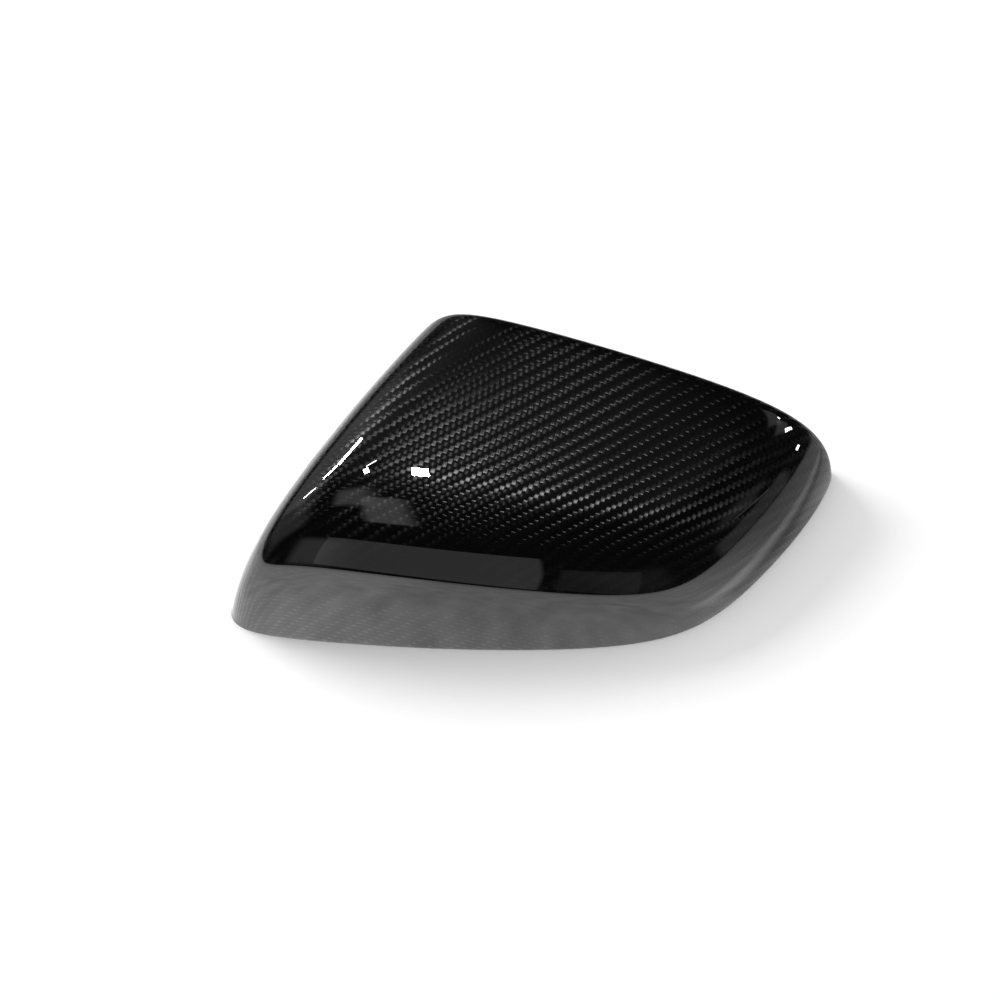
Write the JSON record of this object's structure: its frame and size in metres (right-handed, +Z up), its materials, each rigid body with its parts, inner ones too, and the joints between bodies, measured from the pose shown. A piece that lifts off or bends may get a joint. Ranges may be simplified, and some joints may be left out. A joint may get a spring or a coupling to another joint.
{
  "type": "wing mirror cover",
  "caption": "Wing mirror cover: a smooth, deeply crowned shell of glossy carbon-fibre laminate, slanted in plan, open underneath with a flat trimmed rim.",
  "frame": {"origin": "middle of the footprint, on the plane of the rim", "axes": "+X runs along the cover to its rounded right end, +Y runs from the long near wall to the straight far wall, +Z points up through the crown, out of the mirror housing that the cover fits over"},
  "size_m": [0.2446, 0.1442, 0.0642],
  "materials": {
    "carbon_laminate": "clear gloss lacquer over black twill-woven carbon fibre"
  },
  "bodies": {
    "root": {"cover_shell": "carbon_laminate"}
  },
  "joints": []
}
